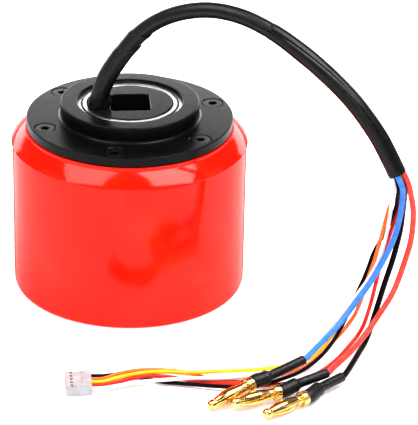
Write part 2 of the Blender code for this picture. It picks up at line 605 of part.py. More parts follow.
def build_housing():
    bm = box_bmesh(HOUSING, (0, 0, 0))
    bmesh.ops.bevel(bm, geom=bm.edges[:], offset=0.3, segments=1, affect="EDGES")
    place = Matrix.Translation(Vector(HOUSING_AT)) @ Matrix.Rotation(math.radians(HOUSING_TURN), 4, "Z")
    bmesh.ops.transform(bm, matrix=place, verts=bm.verts)
    housing = add_object("signal_plug", finish_mesh(bm, "signal_plug"), "housing_white", False)
    cutters = []
    for k in range(5):
        y = (k - 2) * PITCH
        cutters.append(box_bmesh(PIN_HOLE, (-1.6, y, HOUSING[2] / 2.0)))
        cutters.append(box_bmesh((3.0, WIRE_HOLE, WIRE_HOLE), (-HOUSING[0] / 2.0, y, 0)))
    holes = merge(cutters)
    bmesh.ops.transform(holes, matrix=place, verts=holes.verts)
    cut(housing, holes)


def main():
    for obj in list(bpy.data.objects):
        bpy.data.objects.remove(obj)
    build_tyre()
    build_can()
    build_outboard_cover()
    build_flux_ring()
    build_magnets()
    build_inboard_cover()
    build_screws()
    build_bearings()
    build_shaft()
    build_core()
    build_coils()
    build_board()
    build_cable()
    build_wires()
    build_plugs()
    build_housing()


main()
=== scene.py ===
"""Studio view of the skateboard hub motor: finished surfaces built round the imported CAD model.

Lengths are in millimetres in the constants and turned into metres when meshes and curves are made.
"""
import json
import math

import bmesh
import bpy
from mathutils import Matrix, Vector, noise

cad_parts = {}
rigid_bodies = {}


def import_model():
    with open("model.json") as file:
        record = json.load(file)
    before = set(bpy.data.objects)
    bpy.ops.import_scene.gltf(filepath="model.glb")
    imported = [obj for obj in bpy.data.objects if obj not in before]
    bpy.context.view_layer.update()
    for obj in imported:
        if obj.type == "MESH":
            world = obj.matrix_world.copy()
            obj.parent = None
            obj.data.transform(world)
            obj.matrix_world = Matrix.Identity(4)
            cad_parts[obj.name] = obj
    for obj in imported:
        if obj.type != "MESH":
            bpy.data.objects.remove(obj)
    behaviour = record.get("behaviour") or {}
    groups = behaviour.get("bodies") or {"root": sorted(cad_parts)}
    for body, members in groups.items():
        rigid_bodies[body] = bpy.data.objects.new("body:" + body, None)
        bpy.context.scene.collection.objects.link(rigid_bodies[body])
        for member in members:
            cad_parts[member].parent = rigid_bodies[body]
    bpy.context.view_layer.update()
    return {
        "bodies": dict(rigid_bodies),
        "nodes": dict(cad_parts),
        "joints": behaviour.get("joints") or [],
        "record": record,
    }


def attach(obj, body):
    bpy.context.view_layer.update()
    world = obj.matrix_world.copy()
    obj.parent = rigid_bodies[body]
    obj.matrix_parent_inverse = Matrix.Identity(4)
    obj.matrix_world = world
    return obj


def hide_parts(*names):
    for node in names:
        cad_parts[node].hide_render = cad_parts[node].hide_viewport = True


MM = 0.001
TAU = 2.0 * math.pi

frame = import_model()
nodes = frame["nodes"]

# Camera, solved from the photo: where it stands and the directions right, up and back of its own axes
CAMERA_AT = (0.0, -0.8329, 0.4364)
CAMERA_RIGHT = (0.9995, -0.0252, 0.0186)
CAMERA_UP = (-0.0055, 0.4430, 0.8965)
CAMERA_BACK = (-0.0308, -0.8962, 0.4426)
CAMERA_LENS, SENSOR_WIDTH = 218.71, 36.0

# Studio, in metres and watts. Each softbox: where it stands, what it faces, its size, power and long side
WORLD_STRENGTH, PAPER_GLOW = 0.20, 0.18
FLOOR_HALF, FLOOR_LEVEL = 6.0, -0.0002
COVER_MIDDLE, MOTOR_MIDDLE, UPRIGHT = (0.0, -0.03, 0.055), (0.02, -0.02, 0.03), (0.0, 0.0, 1.0)
SOFTBOXES = {
    "top_left": ((-0.385, -0.150, 0.79), COVER_MIDDLE, (0.46, 0.62), 3.6, (-0.36, -0.86, -0.35)),
    "top_right": ((0.376, -0.150, 0.79), COVER_MIDDLE, (0.49, 0.62), 6.0, (0.36, -0.86, -0.35)),
    "back": ((0.02, 0.42, 0.14), (0.02, 0.0, 0.06), (1.0, 0.16), 1.75, UPRIGHT),
    "front": ((-0.10, -1.30, 0.62), MOTOR_MIDDLE, (1.1, 0.55), 3.6, UPRIGHT),
    "left": ((-1.0, -0.25, 0.40), MOTOR_MIDDLE, (0.8, 0.8), 0.8, UPRIGHT),
    "right": ((1.05, -0.15, 0.40), MOTOR_MIDDLE, (0.8, 0.8), 0.8, UPRIGHT),
}

# Wheel and shaft: the radii and heights that shape them. The tyre's lip is as wide as the photo shows it
TYRE_BASE_R, TYRE_LIP_R, TYRE_LIP_Z = 35.9, 41.88, 54.05
COVER_R, COVER_UNDER, COVER_TOP = 36.5, 60.0, 63.3
BOSS_R, BOSS_TOP, BOSS_MOUTH_R, BOSS_SEAT_R, SEAT_TOP = 24.5, 69.0, 18.7, 21.3, 68.3
SCREW_COUNT, SCREW_CIRCLE_R, FIRST_SCREW, SCREW_STEP = 6, 31.6, 20.8, 60
BEARING_LOW, BEARING_HIGH = 61.0, 68.0
SHAFT_TOP, SHAFT_R = 68.2, 14.9
SOCKET_WIDTH, SOCKET_CORNER, SOCKET_FLOOR, SOCKET_TURN = 14.0, 1.8, 46.2, 3.5
CABLE_HOLE_R, CABLE_HOLE_FLOOR = 3.0, 50.5

# Routes of the cable and its wires, the same points as in the CAD
CABLE_PATH = [
    (-10.9, -3.8, 58.0), (-10.9, -3.8, 66.5), (-10.5, -3.8, 72.5), (-7.6, -4.1, 80.5),
    (-1.2, -5.3, 91.0), (5.2, -7.0, 99.0), (14.5, -10.5, 105.6), (25.9, -15.5, 109.5),
    (37.0, -21.0, 109.6), (47.7, -26.5, 106.3), (57.1, -31.0, 101.0), (66.5, -35.5, 94.2),
    (75.4, -39.9, 86.2), (83.3, -43.4, 76.1), (88.0, -45.3, 67.7), (90.6, -46.3, 62.6),
]
CABLE_EXIT = (-10.9, -3.8, SHAFT_TOP)
CABLE_LENGTH, JACKET_START, JACKET_END_GAP = 0.152, 3.0, 4.0
JACKET_R, BASE_SLEEVE_R, SECOND_LAYER_R, END_SLEEVE_R = 2.74, 3.42, 3.10, 3.22
BASE_SLEEVE_SPAN, SECOND_LAYER_SPAN, END_SLEEVE_SPAN = (9.0, 35.9), (30.0, 43.4), (95.0, 161.5)

# Pinched seams in the sleeves: from and to along the cable, turn at each, height and width
BASE_SEAMS = [(12.0, 34.0, 1.75, 1.55, 0.10, 0.16)]
END_SEAMS = [(97.0, 134.0, 1.36, 0.95, 0.17, 0.11), (118.0, 150.0, 1.95, 1.70, 0.08, 0.10)]

PHASE_R, HALL_R = 1.0, 0.68
PHASE_WIRES = {
    "blue": [(90.4, -48.2, 62.7), (92.2, -48.3, 58.7), (92.7, -46.4, 54.2), (92.4, -46.1, 47.8),
             (90.5, -47.2, 39.0), (86.9, -49.0, 30.9), (82.4, -51.8, 23.7), (77.1, -54.8, 17.0),
             (72.0, -60.0, 12.5), (67.0, -67.4, 11.2), (61.9, -74.7, 9.9), (59.2, -78.7, 9.3)],
    "red": [(92.5, -46.6, 63.4), (94.4, -47.2, 59.4), (95.6, -46.8, 54.6), (96.7, -46.5, 48.2),
            (96.3, -47.6, 38.6), (93.9, -49.7, 29.6), (90.5, -53.2, 21.2), (85.5, -56.6, 13.8),
            (80.2, -61.2, 8.0), (75.1, -69.3, 6.6), (69.7, -77.2, 5.9), (67.0, -81.3, 5.6)],
    "black": [(91.6, -44.7, 62.1), (93.3, -44.4, 58.7), (93.9, -42.0, 54.3), (94.1, -39.0, 48.6),
              (93.4, -39.5, 38.4), (91.2, -41.8, 28.6), (88.1, -45.2, 19.4), (85.1, -49.1, 10.3),
              (81.9, -56.9, 5.1), (78.1, -66.4, 4.1), (74.3, -76.0, 3.7), (72.2, -80.4, 3.6)],
}
HALL_WIRES = {
    "red": [(89.8, -44.7, 61.7), (91.6, -44.6, 57.9), (92.0, -42.0, 53.6), (92.1, -40.0, 47.5),
            (90.1, -40.9, 38.7), (87.6, -42.8, 30.3), (85.5, -45.6, 22.0), (83.3, -49.4, 14.1),
            (80.3, -52.8, 6.3), (75.1, -58.8, 2.3), (70.1, -66.3, 1.2), (64.4, -73.2, 0.8),
            (57.3, -78.7, 0.8), (48.7, -81.5, 0.8), (39.7, -81.7, 0.9), (30.7, -80.6, 0.9),
            (21.8, -79.1, 0.9), (13.1, -77.3, 1.4), (4.6, -79.5, 2.8), (-4.1, -82.2, 2.0),
            (-8.3, -83.8, 2.0), (-12.8, -84.3, 2.0)],
    "orange": [(88.9, -45.7, 61.4), (89.7, -45.0, 57.2), (89.6, -43.3, 52.5), (88.2, -42.9, 46.2),
               (86.4, -44.1, 37.9), (84.3, -46.0, 29.7), (81.5, -48.7, 22.0), (78.9, -52.4, 14.6),
               (75.2, -52.0, 7.0), (69.6, -56.3, 2.5), (65.7, -64.0, 2.6), (59.7, -70.1, 1.3),
               (52.1, -74.2, 0.9), (44.3, -77.7, 0.8), (35.9, -79.6, 0.9), (27.5, -77.7, 0.9),
               (19.8, -73.7, 1.0), (11.3, -72.1, 1.0), (3.0, -74.1, 2.0), (-4.4, -78.2, 2.7),
               (-8.6, -79.8, 2.0), (-13.1, -80.1, 2.0)],
    "black": [(89.8, -46.6, 62.0), (91.1, -46.2, 57.9), (91.2, -43.7, 53.6), (91.1, -41.6, 47.7),
              (88.2, -42.3, 39.5), (84.3, -43.8, 32.0), (81.4, -46.3, 24.2), (77.8, -49.7, 17.1),
              (74.3, -55.7, 11.9), (70.1, -60.6, 6.2), (65.1, -67.1, 3.4), (59.0, -72.9, 1.6),
              (53.0, -79.1, 2.3), (45.5, -83.3, 2.2), (37.0, -84.6, 1.7), (28.4, -83.4, 1.4),
              (19.9, -81.6, 1.1), (11.3, -79.7, 0.8), (3.3, -76.6, 0.8), (-5.1, -75.4, 1.0),
              (-8.7, -77.8, 1.9), (-13.2, -78.0, 2.0)],
    "yellow": [(91.0, -46.3, 62.6), (92.6, -46.4, 58.6), (92.9, -43.9, 54.2), (93.1, -41.9, 48.2),
               (92.1, -41.1, 39.7), (89.7, -41.2, 31.5), (86.0, -42.7, 23.9), (81.2, -45.6, 17.5),
               (76.1, -48.7, 11.3), (71.3, -51.4, 4.8), (66.5, -57.3, 1.3), (61.1, -63.9, 0.8),
               (53.9, -68.5, 1.1), (46.0, -71.7, 1.4), (37.6, -73.6, 1.8), (29.3, -75.4, 2.4),
               (20.8, -76.6, 2.7), (12.3, -76.6, 3.0), (3.7, -77.3, 2.7), (-4.4, -80.0, 2.3),
               (-8.4, -81.8, 2.0), (-12.9, -82.2, 2.0)],
    "white": [(88.9, -47.6, 61.8), (89.4, -46.9, 57.6), (89.2, -44.9, 53.0), (89.0, -44.6, 46.6),
              (87.8, -45.6, 38.4), (85.6, -47.4, 30.5), (81.6, -49.9, 23.6), (76.6, -52.8, 17.6),
              (71.6, -55.6, 11.6), (67.5, -54.7, 4.6), (63.7, -60.8, 2.8), (58.8, -67.4, 1.9),
              (51.8, -72.0, 1.4), (44.5, -76.2, 1.8), (37.0, -79.5, 2.5), (28.6, -80.1, 2.5),
              (20.3, -80.4, 2.6), (12.0, -81.1, 2.4), (3.7, -81.1, 1.5), (-4.1, -83.9, 1.6),
              (-8.2, -85.8, 1.9), (-12.6, -86.4, 2.0)],
}

# Bullet plugs: tip of the pin, mouth of its sleeve, where the sleeve narrows, end of the sleeve
PLUGS = {
    "blue": ((26.7, -98.0, 2.1), (41.4, -88.2, 5.5), (46.7, -85.7, 6.5), (58.9, -78.9, 9.2)),
    "red": ((34.2, -98.2, 3.3), (50.5, -90.6, 3.6), (56.1, -87.3, 4.4), (66.7, -81.5, 5.6)),
    "black": ((44.7, -103.7, 2.4), (59.1, -93.1, 2.9), (63.8, -87.7, 3.2), (71.9, -80.7, 3.6)),
}

# How far the wires run on inside what holds their ends
INTO_SLEEVE, INTO_BULLET, INTO_HOUSING = 3.0, 2.5, 1.2

# Signal plug: its size, place and turn, and where its contacts sit across it
HOUSING, HOUSING_AT, HOUSING_TURN = (8.8, 10.6, 3.6), (-16.8, -82.5, 1.95), 4.0
PITCH = 2.1
CONTACTS = [(k - 2) * PITCH for k in range(5)]


# -------- camera, floor and lights

def stand(thing, at, right, up, back):
    """Put a camera or light at a point, turned to three axes."""
    axes = Matrix((right, up, back)).transposed()
    thing.matrix_world = Matrix.Translation(at) @ axes.to_4x4()
    bpy.context.scene.collection.objects.link(thing)


def to_mesh(name, bm):
    """A new mesh made from a bmesh, which is used up."""
    mesh = bpy.data.meshes.new(name)
    bm.to_mesh(mesh)
    bm.free()
    return mesh


def make_camera():
    data = bpy.data.cameras.new("camera")
    data.lens = CAMERA_LENS
    data.sensor_width = SENSOR_WIDTH
    data.clip_start, data.clip_end = 0.05, 20.0
    camera = bpy.data.objects.new("camera", data)
    stand(camera, CAMERA_AT, CAMERA_RIGHT, CAMERA_UP, CAMERA_BACK)
    bpy.context.scene.camera = camera


def softbox(name, at, towards, size, watts, long_axis):
    """A rectangular light aimed at a point, its second side laid along the long axis."""
    data = bpy.data.lights.new(name, "AREA")
    data.shape = "RECTANGLE"
    data.size, data.size_y = size
    data.energy = watts
    light = bpy.data.objects.new(name, data)
    light.visible_camera = False
    back = (Vector(at) - Vector(towards)).normalized()
    across = Vector(long_axis).cross(back).normalized()
    stand(light, at, across, back.cross(across), back)


def make_studio():
    world = bpy.data.worlds.new("studio")
    world.use_nodes = True
    backdrop = world.node_tree.nodes["Background"]
    backdrop.inputs["Color"].default_value = (1.0, 1.0, 1.0, 1.0)
    backdrop.inputs["Strength"].default_value = WORLD_STRENGTH
    scene = bpy.context.scene
    scene.world = world
    scene.view_settings.view_transform = "Standard"
    scene.view_settings.look = "High Contrast"
    for name, facts in SOFTBOXES.items():
        softbox(name, *facts)


def make_floor():
    """White paper that glows faintly, so that red shadows don't tint it."""
    bm = bmesh.new()
    corners = ((-1, -1), (1, -1), (1, 1), (-1, 1))
    bm.faces.new([bm.verts.new((x * FLOOR_HALF, y * FLOOR_HALF, FLOOR_LEVEL)) for x, y in corners])
    floor = bpy.data.objects.new("floor", to_mesh("floor", bm))
    bpy.context.scene.collection.objects.link(floor)
    paper = Look("floor_paper", (0.93, 0.93, 0.93), roughness=0.85, Emission_Strength=PAPER_GLOW)
    paper.shader.inputs["Emission Color"].default_value = (1.0, 1.0, 1.0, 1.0)
    grain = paper.noise(900.0, 3.0)
    paper.colour(grain, (0.925, 0.925, 0.925), (0.945, 0.945, 0.945))
    floor.data.materials.append(paper.material)


# -------- materials

class Look:
    """One Principled material built up from procedural layers in the piece's own coordinates."""

    def __init__(self, name, base, metallic=0.0, roughness=0.4, **sockets):
        self.material = bpy.data.materials.new(name)
        self.material.use_nodes = True
        self.tree = self.material.node_tree
        self.shader = self.tree.nodes["Principled BSDF"]
        self.shader.inputs["Base Color"].default_value = (*base, 1.0)
        self.shader.inputs["Metallic"].default_value = metallic
        self.shader.inputs["Roughness"].default_value = roughness
        for socket, value in sockets.items():
            self.shader.inputs[socket.replace("_", " ")].default_value = value
        self.material.diffuse_color = (*base, 1.0)
        self.place = self.tree.nodes.new("ShaderNodeTexCoord").outputs["Object"]
        self.height = None

    def link(self, source, socket):
        self.tree.links.new(source, socket)

    def math(self, kind, first, second=None):
        step = self.tree.nodes.new("ShaderNodeMath")
        step.operation = kind
        for socket, value in zip(step.inputs, (first, second)):
            if value is None:
                continue
            if isinstance(value, (int, float)):
                socket.default_value = value
            else:
                self.link(value, socket)
        return step.outputs[0]

    def average(self, first, second):
        return self.math("ADD", self.math("MULTIPLY", first, 0.5), self.math("MULTIPLY", second, 0.5))

    def round_place(self, radial, angular, axial):
        """Coordinates that run outwards, round and along the Z axis."""
        split = self.tree.nodes.new("ShaderNodeSeparateXYZ")
        self.link(self.place, split.inputs[0])
        x, y, z = split.outputs
        square = self.math("ADD", self.math("MULTIPLY", x, x), self.math("MULTIPLY", y, y))
        radius = self.math("SQRT", square)
        angle = self.math("ARCTAN2", y, x)
        join = self.tree.nodes.new("ShaderNodeCombineXYZ")
        for socket, value, size in zip(join.inputs, (radius, angle, z), (radial, angular, axial)):
            self.link(self.math("MULTIPLY", value, size), socket)
        return join.outputs[0]

    def noise(self, scale, detail=4.0, place=None, distortion=0.0, roughness=0.55):
        step = self.tree.nodes.new("ShaderNodeTexNoise")
        step.inputs["Scale"].default_value = scale
        step.inputs["Detail"].default_value = detail
        step.inputs["Roughness"].default_value = roughness
        step.inputs["Distortion"].default_value = distortion
        self.link(place or self.place, step.inputs["Vector"])
        return step.outputs["Fac"]

    def cells(self, scale):
        step = self.tree.nodes.new("ShaderNodeTexVoronoi")
        step.inputs["Scale"].default_value = scale
        self.link(self.place, step.inputs["Vector"])
        return step.outputs["Distance"]

    def level_bands(self, scale, distortion=0.0):
        """Level stripes stacked along the Z axis."""
        step = self.tree.nodes.new("ShaderNodeTexWave")
        step.bands_direction = "Z"
        step.inputs["Scale"].default_value = scale
        step.inputs["Distortion"].default_value = distortion
        self.link(self.place, step.inputs["Vector"])
        return step.outputs["Fac"]

    def remap(self, source, low, high, out_low, out_high):
        step = self.tree.nodes.new("ShaderNodeMapRange")
        ends = {"From Min": low, "From Max": high, "To Min": out_low, "To Max": out_high}
        for socket, value in ends.items():
            step.inputs[socket].default_value = value
        self.link(source, step.inputs["Value"])
        return step.outputs["Result"]

    def colour(self, source, *stops):
        """Base colour from a factor, through two or more colours spread over its middle range."""
        ramp = self.tree.nodes.new("ShaderNodeValToRGB")
        ramp.color_ramp.interpolation = "EASE"
        marks = ramp.color_ramp.elements
        while len(marks) < len(stops):
            marks.new(0.5)
        for k, stop in enumerate(stops):
            marks[k].position = 0.28 + 0.44 * k / (len(stops) - 1)
            marks[k].color = (*stop, 1.0)
        self.link(source, ramp.inputs["Fac"])
        self.link(ramp.outputs["Color"], self.shader.inputs["Base Color"])

    def rough(self, source, low, high):
        """Roughness between two levels, following a factor's middle range."""
        self.link(self.remap(source, 0.3, 0.7, low, high), self.shader.inputs["Roughness"])

    def facing_gloss(self, straight_on, edge):
        """Reflection level that falls away where the surface turns from the viewer."""
        layer = self.tree.nodes.new("ShaderNodeLayerWeight")
        layer.inputs["Blend"].default_value = 0.35
        level = self.remap(layer.outputs["Facing"], 0.25, 0.80, straight_on, edge)
        self.link(level, self.shader.inputs["Specular IOR Level"])

    def bump(self, source, depth, strength=1.0):
        """One more layer of relief, its depth in millimetres."""
        step = self.tree.nodes.new("ShaderNodeBump")
        step.inputs["Strength"].default_value = strength
        step.inputs["Distance"].default_value = depth * MM
        self.link(source, step.inputs["Height"])
        if self.height:
            self.link(self.height, step.inputs["Normal"])
        self.height = step.outputs["Normal"]
        self.link(self.height, self.shader.inputs["Normal"])


def urethane():
    """Cast polyurethane: a wet gloss over a slowly varying colour, with faint casting ripple."""
    look = Look("tyre_urethane", (0.95, 0.022, 0.004), roughness=0.12)
    look.facing_gloss(0.36, 0.0)
    clouds = look.noise(38.0, 3.0)
    look.colour(clouds, (0.90, 0.012, 0.002), (0.97, 0.017, 0.003), (1.0, 0.026, 0.005))
    look.rough(look.noise(260.0, 4.0), 0.08, 0.15)
    look.bump(look.noise(70.0, 2.0), 0.03, 0.4)
    look.bump(look.noise(900.0, 3.0), 0.003, 0.5)
    return look.material


def anodised(name="anodised_satin", level=1.0, gloss=0.0):
    """Turned and black-anodised aluminium: concentric tool marks and a fine bead-blasted grain."""
    dark = tuple(level * c for c in (0.0045, 0.0045, 0.0050))
    light = tuple(level * c for c in (0.012, 0.012, 0.0130))
    look = Look(name, dark, roughness=0.36, Specular_IOR_Level=0.22)
    turning = look.noise(1.0, 3.0, look.round_place(5200.0, 1.4, 5200.0))
    grain = look.noise(5200.0, 2.0)
    patches = look.noise(60.0, 4.0)
    look.colour(look.average(turning, patches), dark, light)
    look.rough(look.average(grain, patches), 0.22 - gloss, 0.33 - gloss)
    look.bump(turning, 0.010, 0.35)
    look.bump(grain, 0.012, 0.40)
    return look.material


def steel(name, base, low, high, marks=0.35):
    """Ground steel with fine marks running round it."""
    look = Look(name, base, metallic=1.0, roughness=0.2)
    rings = look.noise(1.0, 3.0, look.round_place(9000.0, 0.8, 9000.0))
    smears = look.noise(1.0, 2.0, look.round_place(700.0, 1.6, 700.0))
    look.colour(smears, tuple(c * 0.94 for c in base), base)
    look.rough(smears, low, high)
    look.bump(rings, 0.002, marks)
    return look.material


def black_oxide():
    """Blackened steel screw heads, worn to bare metal in specks."""
    look = Look("black_oxide", (0.02, 0.02, 0.022), metallic=0.75, roughness=0.34)
    wear = look.noise(900.0, 6.0)
    look.colour(wear, (0.012, 0.012, 0.013), (0.030, 0.030, 0.033), (0.075, 0.072, 0.070))
    look.rough(look.noise(2600.0, 3.0), 0.26, 0.46)
    look.bump(look.noise(3000.0, 3.0), 0.012, 0.4)
    return look.material


def shrink(name, level=1.0, gloss=0.52, low=0.32, high=0.48):
    """Heat-shrink sleeving: satin black with fine pores, soft creases and dusty scuffs."""
    look = Look(name, (0.012, 0.012, 0.013), roughness=0.40)
    look.facing_gloss(gloss, 0.05)
    scuffs = look.noise(900.0, 7.0, distortion=0.3, roughness=0.65)
    dark = tuple(level * c for c in (0.0025, 0.0025, 0.0028))
    middle = tuple(level * c for c in (0.0060, 0.0061, 0.0064))
    pale = tuple(level * c for c in (0.020, 0.0205, 0.0215))
    look.colour(scuffs, dark, middle, pale)
    look.rough(look.noise(700.0, 5.0), low, high)
    look.bump(look.noise(240.0, 3.0), 0.10, 0.45)
    look.bump(look.noise(1500.0, 5.0), 0.045, 0.6)
    return look.material


def plug_shrink():
    """Thin sleeving pulled tight over the solder cups, its skin finely pebbled."""
    look = Look("plug_sleeving", (0.010, 0.010, 0.011), roughness=0.42, Specular_IOR_Level=0.5)
    pebbles = look.cells(1500.0)
    look.colour(look.noise(1300.0, 5.0), (0.0035, 0.0035, 0.0040), (0.0090, 0.0092, 0.0098),
                (0.022, 0.022, 0.023))
    look.rough(look.noise(900.0, 4.0), 0.34, 0.52)
    look.bump(look.noise(260.0, 3.0), 0.10, 0.5)
    look.bump(pebbles, 0.07, 0.7)
    return look.material


def insulation(name, dark, light, shine=0.35):
    """Extruded wire insulation: an even colour with slight mottling, rub marks and die lines."""
    look = Look(f"insulation_{name}", light, roughness=0.36, Specular_IOR_Level=shine)
    look.colour(look.noise(520.0, 5.0), dark, light)
    look.rough(look.noise(1300.0, 4.0), 0.28, 0.46)
    look.bump(look.noise(1500.0, 3.0), 0.015, 0.4)
    return look.material


def gold():
    """Gold plating, slightly tarnished in clouds."""
    look = Look("gold_plate", (0.95, 0.62, 0.20), metallic=1.0, roughness=0.16)
    tarnish = look.noise(620.0, 5.0, distortion=0.4)
    look.colour(tarnish, (0.58, 0.34, 0.095), (0.86, 0.59, 0.23), (1.0, 0.78, 0.42))
    look.rough(look.noise(1500.0, 4.0), 0.07, 0.20)
    look.bump(look.noise(1100.0, 3.0), 0.020, 0.35)
    return look.material


def nylon():
    """White moulded nylon, its colour painted down to grey as painted shade."""
    look = Look("white_nylon", (0.62, 0.62, 0.61), roughness=0.42, Specular_IOR_Level=0.45)
    # painted shade: the noise ramp keeps the white nylon a mid grey
    look.colour(look.noise(300.0, 4.0), (0.40, 0.40, 0.41), (0.52, 0.52, 0.53))
    look.rough(look.noise(900.0, 4.0), 0.34, 0.52)
    look.bump(look.noise(2600.0, 3.0), 0.015, 0.5)
    return look.material


def laminations():
    """Stacked thin sheets: fine level lines round the core."""
    look = Look("laminations", (0.26, 0.27, 0.30), metallic=0.9, roughness=0.45)
    sheets = look.level_bands(320.0)
    look.colour(sheets, (0.14, 0.145, 0.16), (0.33, 0.34, 0.37))
    look.rough(look.noise(800.0, 4.0), 0.38, 0.55)
    look.bump(sheets, 0.06, 0.7)
    return look.material


def winding():
    """Enamelled copper wire laid in close turns."""
    look = Look("copper_winding", (0.62, 0.22, 0.08), metallic=0.9, roughness=0.3)
    turns = look.level_bands(260.0, 0.6)
    look.colour(turns, (0.32, 0.10, 0.035), (0.68, 0.27, 0.10))
    look.rough(look.noise(700.0, 4.0), 0.24, 0.42)
    look.bump(turns, 0.15, 0.8)
    return look.material


def plain_metal(name, dark, light, low, high):
    """Bare or plated metal between two colours and two levels of roughness."""
    look = Look(name, light, metallic=1.0, roughness=low)
    look.colour(look.noise(240.0, 5.0), dark, light)
    look.rough(look.noise(900.0, 4.0), low, high)
    look.bump(look.noise(1800.0, 4.0), 0.015, 0.4)
    return look.material


def board():
    """Solder mask over a faint weave, with paler tracks."""
    look = Look("solder_mask", (0.02, 0.13, 0.05), roughness=0.3, Coat_Weight=0.3)
    tracks = look.cells(260.0)
    look.colour(tracks, (0.012, 0.085, 0.032), (0.035, 0.19, 0.075))
    look.rough(look.noise(900.0, 3.0), 0.25, 0.4)
    look.bump(tracks, 0.02, 0.5)
    return look.material


def make_materials():
    return {
        "tyre": urethane(),
        "anodised": anodised(),
        "shaft_face": anodised("anodised_shaft", 1.7, 0.02),
        # the tinned contacts are coloured near black: painted shade in the pin windows of the housing
        "contact": plain_metal("tinned_contact", (0.035, 0.034, 0.032), (0.09, 0.088, 0.084), 0.35, 0.5),
        "race": steel("bearing_race", (0.74, 0.74, 0.76), 0.26, 0.34),
        "shield": steel("bearing_shield", (0.80, 0.80, 0.81), 0.28, 0.38),
        "screw": black_oxide(),
        "shrink": shrink("heat_shrink"),
        "end_shrink": shrink("end_sleeve_shrink", 0.85, 0.40, 0.26, 0.40),
        "plug_shrink": plug_shrink(),
        "jacket": shrink("cable_jacket_skin", 0.9),
        "gold": gold(),
        "nylon": nylon(),
        "lamination": laminations(),
        "copper": winding(),
        "yoke": plain_metal("yoke_steel", (0.22, 0.22, 0.23), (0.36, 0.36, 0.38), 0.34, 0.5),
        "magnet": plain_metal("magnet_nickel", (0.42, 0.41, 0.39), (0.58, 0.57, 0.55), 0.2, 0.34),
        "board": board(),
        "wire_blue": insulation("blue", (0.055, 0.21, 0.72), (0.085, 0.27, 0.92)),
        "wire_red": insulation("red", (0.78, 0.060, 0.045), (0.96, 0.100, 0.078)),
        "wire_black": insulation("black", (0.0010, 0.0012, 0.0020), (0.0040, 0.0042, 0.0055), 0.2),
        "wire_orange": insulation("orange", (0.90, 0.17, 0.040), (1.0, 0.26, 0.085)),
        "wire_yellow": insulation("yellow", (0.86, 0.62, 0.020), (0.96, 0.74, 0.045)),
        "wire_white": insulation("white", (0.70, 0.70, 0.69), (0.84, 0.84, 0.83)),
        "thin_red": insulation("thin_red", (0.66, 0.030, 0.020), (0.84, 0.060, 0.038)),
    }


# -------- mesh tools

def enlist(piece, body, stands_for):
    """A new piece taken into the scene and the frame."""
    bpy.context.scene.collection.objects.link(piece)
    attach(piece, body)
    if stands_for:
        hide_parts(*stands_for)
    return piece


def add_piece(name, bm, material, body, stands_for=(), sharp=35.0):
    """A mesh piece from a bmesh in millimetres, riding on a body."""
    bmesh.ops.recalc_face_normals(bm, faces=bm.faces)
    bmesh.ops.scale(bm, vec=(MM, MM, MM), verts=bm.verts)
    mesh = to_mesh(name, bm)
    mesh.materials.append(material)
    mesh.shade_smooth()
    mesh.set_sharp_from_angle(angle=math.radians(sharp))
    piece = bpy.data.objects.new(name, mesh)
    even = piece.modifiers.new("even_normals", "WEIGHTED_NORMAL")
    even.keep_sharp = True
    even.weight = 100
    return enlist(piece, body, stands_for)


def rounded(corners, closed=True):
    """An outline whose (radius, height, fillet) corners are turned into arcs."""
    outline = []
    count = len(corners)
    for i, (r, z, fillet) in enumerate(corners):
        corner = Vector((r, z))
        if fillet <= 0.0 or (not closed and i in (0, count - 1)):
            outline.append((r, z))
            continue
        before = Vector(corners[i - 1][:2]) - corner
        after = Vector(corners[(i + 1) % count][:2]) - corner
        half = before.angle(after) / 2.0
        reach = min(fillet / math.tan(half), 0.49 * before.length, 0.49 * after.length)
        radius = reach * math.tan(half)
        u, v = before.normalized(), after.normalized()
        centre = corner + (u + v).normalized() * (radius / math.sin(half))
        start, end = corner + u * reach - centre, corner + v * reach - centre
        sweep = start.angle_signed(end)
        steps = max(2, int(abs(sweep) / math.radians(20.0)) + (2 if fillet > 1.0 else 1))
        for k in range(steps + 1):
            turn = Matrix.Rotation(-sweep * k / steps, 2)
            point = centre + turn @ start
            outline.append((point.x, point.y))
    return outline


def band(bm, low, high):
    """Faces between two loops of points. A loop of one point is a pole."""
    count = max(len(low), len(high))
    for i in range(count):
        j = (i + 1) % count
        if len(low) == 1:
            bm.faces.new((low[0], high[i], high[j]))
        elif len(high) == 1:
            bm.faces.new((low[i], low[j], high[0]))
        else:
            bm.faces.new((low[i], low[j], high[j], high[i]))


def lathe_bmesh(outline, steps):
    """A solid of revolution. A closed outline clear of the axis gives a ring."""
    bm = bmesh.new()
    rings = []
    for radius, z in outline:
        turns = [TAU * i / steps for i in range(steps)] if radius > 0.0 else [0.0]
        rings.append([bm.verts.new((radius * math.cos(turn), radius * math.sin(turn), z)) for turn in turns])
    solid = len(rings[0]) == 1
    for low, high in zip(rings, rings[1:] if solid else rings[1:] + rings[:1]):
        band(bm, low, high)
    return bm


def prism_bmesh(points, low, high, flare=0.0):
    """A flat outline raised between two heights, its top opened out by the flare."""
    bm = bmesh.new()
    bottom = [bm.verts.new((x, y, low)) for x, y in points]
    top = [bm.verts.new((x * (1.0 + flare), y * (1.0 + flare), high)) for x, y in points]
    bm.faces.new(bottom[::-1])
    bm.faces.new(top)
    band(bm, bottom, top)
    return bm


def box_bmesh(size, centre):
    """A box of three sizes about a centre."""
    x, y, z = (s / 2.0 for s in size)
    return moved(prism_bmesh([(-x, -y), (x, -y), (x, y), (-x, y)], -z, z), centre)


def moved(bm, offset=(0, 0, 0), turn=0.0):
    """The bmesh turned about the Z axis by degrees, then shifted."""
    bmesh.ops.rotate(bm, verts=bm.verts, matrix=Matrix.Rotation(math.radians(turn), 3, "Z"))
    bmesh.ops.translate(bm, verts=bm.verts, vec=offset)
    return bm


